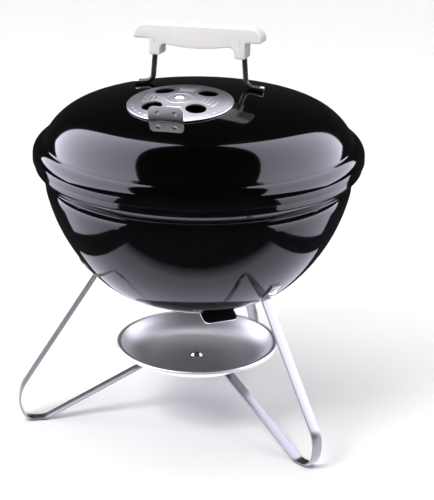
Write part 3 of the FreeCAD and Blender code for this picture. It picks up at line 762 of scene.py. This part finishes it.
def make_grate(name, ring_r, z, wire, bar, pitch, count, brace_x, slot):
    circle = [(ring_r + a, z + b) for a, b in round_section(wire, 16)]
    dress(lathe(name + "_hoop", circle, 160), slot, name, name + "_ring")
    bar_z = z + wire + bar + WELD_GAP
    bars = []
    for k in range(count):
        y = (k - (count - 1) / 2) * pitch
        half = math.sqrt(ring_r ** 2 - y ** 2)
        bars.append(rod((-half, y, bar_z), (half, y, bar_z), bar))
    dress(joined(name + "_rods", bars), slot, name, name + "_bars")
    half = math.sqrt((ring_r - wire) ** 2 - (brace_x + wire) ** 2) - SEAT_GAP
    braces = [rod((x, -half, z), (x, half, z), wire) for x in (-brace_x, brace_x)]
    dress(joined(name + "_ties", braces), slot, name, name + "_braces")


# ---- lid and its damper -------------------------------------------------------------------------

def make_lid():
    piece = lathe("lid_shell", sheet_outline((0, LID_APEX_Z), LID_STEPS, -SHEET, 1.2), 256)
    vents = vent_cutters(LID_VENT_R, LID_VENT_RING_R, LID_APEX_Z)
    for vent in vents:
        place(vent, on_lid(LID_DAMPER_Y))
    dress(cut(piece, vents), "black_enamel", "lid", "lid")


def damper_rise():
    lid_drop = LID_CROWN_R - math.sqrt(LID_CROWN_R ** 2 - LID_DAMPER_R ** 2)
    dish_drop = LID_DAMPER_DISH_R - math.sqrt(LID_DAMPER_DISH_R ** 2 - LID_DAMPER_R ** 2)
    return dish_drop - lid_drop + FIT_GAP


def ridge(distance, width):
    """Height from 0 to 1 of a rounded ridge at a distance from its middle line."""
    return math.exp(-(distance / width) ** 2)


def embossing(x, y):
    """Plain pressed ribs between the vents and a ring of small beads, as a height in millimetres."""
    radius = math.hypot(x, y)
    angle = math.degrees(math.atan2(y, x))
    spacing = 360 / VENT_COUNT
    height = INNER_RING_HEIGHT * ridge(radius - INNER_RING_R, RIDGE_WIDTH)
    from_vent = min(abs((angle - 45 - spacing * k + 180) % 360 - 180) for k in range(VENT_COUNT))
    if from_vent > RIB_CLEARANCE:
        taper = min(1.0, (from_vent - RIB_CLEARANCE) / RIB_TAPER)
        for ring in RIB_RADII:
            height += RIB_HEIGHT * taper * ridge(radius - ring, RIDGE_WIDTH)
    step = 360 / BEAD_COUNT
    off = math.radians(abs((angle + step / 2) % step - step / 2))
    height += BEAD_HEIGHT * ridge(math.hypot(radius - BEAD_RING_R, off * BEAD_RING_R), RIDGE_WIDTH)
    return height


def make_lid_damper():
    under = LID_APEX_Z + damper_rise()
    half_sheet = LID_DAMPER_SHEET / 2
    top_r = LID_DAMPER_DISH_R + LID_DAMPER_SHEET
    top = []
    rings = 64
    for k in range(rings + 1):
        radius = (LID_DAMPER_R - half_sheet) * k / rings
        top.append((radius, under + LID_DAMPER_SHEET - top_r + math.sqrt(top_r ** 2 - radius ** 2)))
    edge = top[-1][1] - half_sheet
    rim = []
    for k in range(1, 8):
        around = math.radians(22.5 * k)
        radius = LID_DAMPER_R - half_sheet * (1 - math.sin(around))
        rim.append((radius, edge + half_sheet * math.cos(around)))
    low = [(r, under - LID_DAMPER_DISH_R + math.sqrt(LID_DAMPER_DISH_R ** 2 - r ** 2))
           for r in (LID_DAMPER_R - 0.8, 50, 40, 30, 20, 10, 0)]
    count = len(top)
    disc = lathe("disc", top + rim + low, 300, 50, lambda x, y, k: embossing(x, y) if k < count else 0)
    chord = math.sqrt(LID_DAMPER_R ** 2 - (LID_TAB_WIDTH / 2) ** 2)
    front = front_cutter(chord, 300, 450)
    disc = cut(disc, vent_cutters(LID_VENT_R, LID_VENT_RING_R, LID_APEX_Z) + [front], 50)
    dimples = [(x, 8.5, 1.5, -0.5) for x in (-9.5, 9.5)]
    tab = tab_piece("tab", LID_TAB_WIDTH, LID_TAB_HEIGHT, LID_DAMPER_SHEET, dimples)
    edge_z = under - LID_DAMPER_DISH_R + math.sqrt(LID_DAMPER_DISH_R ** 2 - LID_DAMPER_R ** 2)
    place(tab, shifted(0, -chord, edge_z))
    piece = joined("lid_damper_plate", [disc, tab])
    dress(place(piece, on_lid(LID_DAMPER_Y)), "damper_aluminium", "lid_damper", "lid_damper")


def make_lid_rivet():
    high = LID_APEX_Z + damper_rise() + LID_DAMPER_SHEET + FIT_GAP
    piece = lathe("lid_damper_pin", rivet_outline(LID_APEX_Z - SHEET - FIT_GAP, high), 48)
    dress(place(piece, on_lid(LID_DAMPER_Y)), "plated_steel", "lid", "lid_damper_rivet")


# ---- handle -------------------------------------------------------------------------------------

def bail_trail():
    start = (0, LID_APEX_Z + BAIL_TOP_Z)
    corner = [(BAIL_TOP_HALF - BAIL_CORNER_R,), (BAIL_CORNER_R, BAIL_LEAN - 90)]
    bend = (BAIL_BEND_R, 90 - BAIL_LEAN - BAIL_FOOT_SLOPE)
    foot_r = LID_CROWN_R + BAIL_R + 2 * SEAT_GAP
    foot_z = LID_APEX_Z - LID_CROWN_R + math.sqrt(foot_r ** 2 - BAIL_FOOT_HALF ** 2)
    low_x, low_z = end_of(start, 0, corner + [bend])
    slope = math.tan(math.radians(BAIL_FOOT_SLOPE))
    spread = math.tan(math.radians(BAIL_LEAN))
    drop = low_z - foot_z - (BAIL_FOOT_HALF - low_x) * slope
    steps = corner + [(drop / (1 - spread * slope) / math.cos(math.radians(BAIL_LEAN)),), bend]
    foot = (BAIL_FOOT_HALF - end_of(start, 0, steps)[0]) / math.cos(math.radians(BAIL_FOOT_SLOPE))
    half = walk(start, 0, steps + [(foot,)], 0, 6, 6)
    other = [(-x, z, -heading) for x, z, heading in half[:0:-1]]
    return other + half


def make_bail():
    piece = sweep("handle_wire", bail_trail(), round_section(BAIL_R, 28))
    dress(piece, "black_wire", "lid", "handle_bail")
    two_tone(piece, "cut_edge", lambda middle, normal: abs(middle.x) > BAIL_FOOT_HALF - 2)
    place(piece, on_lid(HANDLE_Y))


def grip_ring(offset):
    """The grip's outline seen from the front, moved inwards by an offset."""
    base = LID_APEX_Z
    start = (0, base + GRIP_BELLY_Z)
    drop = end_of(start, 0, GRIP_BELLY)[1] - base - GRIP_SOCKET_Z - GRIP_CORNER_R
    corner = (GRIP_CORNER_R, 90)
    steps = GRIP_BELLY + [(drop,), corner, (GRIP_SOCKET_WIDTH - 2 * GRIP_CORNER_R,), corner]
    steps += [(GRIP_END_UNDER_Z - GRIP_SOCKET_Z - 2 * GRIP_CORNER_R,), (GRIP_CORNER_R, -90)]
    steps.append((GRIP_HALF_LENGTH - GRIP_CORNER_R - end_of(start, 0, steps)[0],))
    steps += [corner, (GRIP_TOP_Z - GRIP_END_R - GRIP_END_UNDER_Z - GRIP_CORNER_R,)]
    steps += [(GRIP_END_R, 90), (GRIP_HALF_LENGTH - GRIP_END_R,)]
    half = places(walk(start, 0, steps, offset, 9))
    return half + [(-x, z) for x, z in half[-2:0:-1]]


def slit_cutter(x, top):
    """A cutter for a shallow upright slit low on the grip's front."""
    low, high = (top - drop for drop in GRIP_SLIT_DROPS)
    return block((x - GRIP_SLIT_HALF_WIDTH, -GRIP_HALF_DEPTH - 1, low),
                 (x + GRIP_SLIT_HALF_WIDTH, GRIP_SLIT_DEPTH - GRIP_HALF_DEPTH, high))


def make_grip(side, name, node):
    """One half of the grip, with rounded outer edges and a fine seam where the halves meet."""
    seam, ease = 0.12, 0.35
    layers = [(ease, seam), (ease * 0.3, seam + ease * 0.3), (0, seam + ease)]
    for k in range(7):
        angle = math.radians(15 * k)
        layers.append((GRIP_EDGE_R * (1 - math.cos(angle)),
                       GRIP_HALF_DEPTH - GRIP_EDGE_R * (1 - math.sin(angle))))
    verts, faces = [], []
    for offset, depth in layers:
        ring = grip_ring(offset)
        verts += [(x, side * depth, z) for x, z in ring]
    wide = len(ring)
    for k in range(len(layers) - 1):
        for j in range(wide):
            a, b = k * wide + j, k * wide + (j + 1) % wide
            faces.append((a, b, b + wide, a + wide))
    last = (len(layers) - 1) * wide
    faces.append(tuple(range(wide)))
    faces.append(tuple(last + j for j in range(wide)))
    piece = facing_out(new_piece(name, verts, faces, 40))
    top = LID_APEX_Z + GRIP_TOP_Z
    cutters = []
    for mirror in (-1, 1):
        low, high = sorted(mirror * x for x in GRIP_SLOT)
        cutters.append(block((low, -GRIP_SLOT_HALF_WIDTH, top - GRIP_SLOT_DEPTH),
                             (high, GRIP_SLOT_HALF_WIDTH, top + 1)))
    if side < 0:
        cutters += [slit_cutter(mirror * GRIP_SLIT_X, top) for mirror in (-1, 1)]
    dress(place(cut(piece, cutters), on_lid(HANDLE_Y)), "grip_plastic", "lid", node)


# ---- CAD pieces that stay -----------------------------------------------------------------------

def dress_cad_pieces():
    kept = {
        "leg_lock_washers": "zinc_steel",
        "leg_nuts": "zinc_steel",
        "ash_catcher_washer": "zinc_steel",
        "ash_catcher_wing_nut": "zinc_steel",
        "handle_screws": "zinc_steel",
    }
    for node, slot in kept.items():
        mesh = frame["nodes"][node].data
        mesh.materials.clear()
        mesh.materials.append(LOOKS[slot])


# ---- stage, lights and camera -------------------------------------------------------------------

def make_floor():
    """A pale floor. The enamel reflects the cards below in its place."""
    reach, z = 9000, -0.2
    corners = [(-reach, -reach, z), (reach, -reach, z), (reach, reach, z), (-reach, reach, z)]
    piece = new_piece("floor", corners, [(0, 1, 2, 3)])
    piece.data.materials.append(floor_look())
    piece.visible_glossy = False


def make_backdrop():
    """A white sheet on the far floor and a wall, seen only by the camera, that hide where light ends."""
    near, fade, far, back = 1200, 1800, 8000, 8100
    low, high, tall = 0.3, 0.5, 9000
    outline = [(near, high), (far, high), (far, tall), (back, tall), (back, low), (near, low)]
    piece = lathe("backdrop", outline, 96)
    white = (1, 1, 1, 1)
    look = Look("backdrop_glow", Base_Color=(0, 0, 0, 1), Emission_Color=white, Emission_Strength=0.95)
    reach = look.add("ShaderNodeVectorMath", Vector=look.coordinates())
    reach.operation = "LENGTH"
    cover = look.add("ShaderNodeMapRange", Value=reach.outputs["Value"])
    cover.inputs["From Min"].default_value = near * MM
    cover.inputs["From Max"].default_value = (near + fade) * MM
    look.set("Alpha", cover.outputs["Result"])
    piece.data.materials.append(look.material)
    piece.visible_diffuse = False
    piece.visible_glossy = False
    piece.visible_shadow = False


def from_camera(right, beyond, above):
    """A place in metres given as right of, beyond and above the grill as the camera sees it."""
    return turn(CAMERA_TURN) @ Vector((right, beyond, above))


def only_reflected(piece):
    piece.visible_camera = False
    piece.visible_diffuse = False
    piece.visible_shadow = False


CARD_TINT = (0.85, 0.84, 1.0, 1)


def card_look(name, strength):
    """A glowing sheet, at full strength where its first texture coordinate is 1."""
    look = Look(name, Roughness=1.0)
    glow = look.add("ShaderNodeSeparateXYZ", Vector=look.coordinates("UV")).outputs["X"]
    look.set("Base Color", look.ramp(glow, [(0, (0, 0, 0)), (1, (0.01, 0.01, 0.01))]))
    look.set("Emission Color", CARD_TINT)
    look.set("Emission Strength", look.level(glow, 0, strength))
    return look.material


def make_card(name, corners, strength):
    """A softbox seen only in reflections. A corner is (right, beyond, above, share of strength)."""
    fine = 12
    verts, uvs, faces = [], [], []
    a, b, c, d = (Vector(corner) for corner in corners)
    for i in range(fine + 1):
        for j in range(fine + 1):
            spot = a.lerp(b, i / fine).lerp(d.lerp(c, i / fine), j / fine)
            verts.append(from_camera(*spot[:3]) / MM)
            uvs.append((spot[3], 0))
            if i < fine and j < fine:
                k = i * (fine + 1) + j
                faces.append((k, k + 1, k + fine + 2, k + fine + 1))
    piece = new_piece(name, verts, faces, 40, uvs)
    piece.data.materials.append(card_look(name + "_glow", strength))
    only_reflected(piece)


WALL_CARD = [(2.673, 0.127, 0.16, 1.0), (1.934, 1.897, 0.80, 0.75),
             (0.097, 0.848, 1.584, 0.3), (0.836, -0.922, 0.944, 0.5)]
LOW_CARD = [(0.40, -0.27, 0.002, 0.3), (0.40, 0.14, 0.002, 0.3),
            (1.4, 0.8, 0.002, 1.0), (1.4, -1.2, 0.002, 1.0)]
NEAR_CARD = [(-0.29, -0.245, 0.001, 0.0), (0.31, -0.245, 0.001, 0.0),
             (0.31, -0.18, 0.001, 0.8), (-0.29, -0.18, 0.001, 0.8)]
UNDER_CARD = [NEAR_CARD[3], NEAR_CARD[2], (0.31, 0.2, 0.001, 1.0), (-0.29, 0.2, 0.001, 1.0)]
SIDE_GLOW = {"left": (-1, 11.5), "right": (1, 10.0)}
LOW_SHARE = 0.62
NEAR_GLOW = 1.8


def mirrored(corners, side):
    return [(side * right, beyond, above, share) for right, beyond, above, share in corners]


def make_cards():
    """Side walls for the lid's long highlights, and low cards for the bowl's."""
    for name, (side, strength) in SIDE_GLOW.items():
        make_card(name + "_wall", mirrored(WALL_CARD, side), strength)
        make_card(name + "_low", mirrored(LOW_CARD, side), strength * LOW_SHARE)
    make_card("near_front", NEAR_CARD, NEAR_GLOW)
    make_card("near_middle", UNDER_CARD, NEAR_GLOW)


def area_light(name, spot, target, size, radiance):
    """A square lamp at a spot that shines at a target, both as the camera sees them."""
    data = bpy.data.lights.new(name, "AREA")
    data.shape = "SQUARE"
    data.size = size
    data.energy = radiance * math.pi * size ** 2
    lamp = bpy.data.objects.new(name, data)
    away = (Vector(spot) - Vector(target)).to_track_quat("Z", "Y")
    lamp.matrix_world = turn(CAMERA_TURN) @ Matrix.Translation(spot) @ away.to_matrix().to_4x4()
    lamp.visible_camera = False
    bpy.context.scene.collection.objects.link(lamp)
    return lamp


def limit(lamp, state, *slots):
    """Keeps a lamp on (INCLUDE) or off (EXCLUDE) the pieces with some finishes."""
    group = bpy.data.collections.new(lamp.name + "_pieces")
    chosen = [LOOKS[slot] for slot in slots]
    for piece in bpy.data.objects:
        if piece.type == "MESH" and piece.data.materials and piece.data.materials[0] in chosen:
            group.objects.link(piece)
    for item in group.collection_objects:
        item.light_linking.link_state = state
    lamp.light_linking.receiver_collection = group


def make_lights():
    world = bpy.data.worlds.new("studio")
    world.use_nodes = True
    sky = world.node_tree.nodes["Background"]
    sky.inputs["Color"].default_value = (1, 1, 1, 1)
    sky.inputs["Strength"].default_value = 0.03
    bpy.context.scene.world = world
    overhead = area_light("overhead", (0, 0.6, 3.2), (0, 0.6, 0), 4.5, 2.45)
    key = area_light("key", (-1.5, -1.5, 2.5), (0, 0, 0.2), 1.2, 13.0)
    fill = area_light("fill", (0.3, -2.6, 1.1), (0, 0, 0.25), 1.4, 2.0)
    for lamp in (overhead, key, fill):
        limit(lamp, "EXCLUDE", "black_enamel")
    bounce = area_light("floor_bounce", (0, 0, 0.003), (0, 0, 1), 3.0, 0.9)
    limit(bounce, "INCLUDE", "leg_strip", "plated_steel", "zinc_steel", "pan_aluminium", "damper_aluminium",
          "black_paint", "black_wire")


CAMERA_TURN = 19.45
CAMERA_PLACE = (21.684, -2114.191, 986.55)
CAMERA_PITCH = 20.4785
CAMERA_ROLL = 0.79
LENS = 143.36136


def make_camera():
    data = bpy.data.cameras.new("camera")
    data.sensor_width = 36
    data.lens = LENS
    camera = bpy.data.objects.new("camera", data)
    tilt = Matrix.Rotation(math.radians(90 - CAMERA_PITCH), 4, "X")
    roll = Matrix.Rotation(math.radians(CAMERA_ROLL), 4, "Z")
    camera.matrix_world = turn(CAMERA_TURN) @ shifted(*CAMERA_PLACE) @ tilt @ roll
    bpy.context.scene.collection.objects.link(camera)
    bpy.context.scene.camera = camera


make_camera()
make_bowl()
make_bowl_damper()
make_bowl_rivet()
make_legs()
make_leg_bolts()
make_ash_catcher()
for grate_name, grate_sizes in GRATES.items():
    make_grate(grate_name, **grate_sizes)
make_lid()
make_lid_damper()
make_lid_rivet()
make_bail()
make_grip(-1, "grip_front", "handle_grip_front")
make_grip(1, "grip_rear", "handle_grip_rear")
dress_cad_pieces()
make_floor()
make_backdrop()
make_cards()
make_lights()
bpy.context.scene.view_settings.view_transform = "Standard"
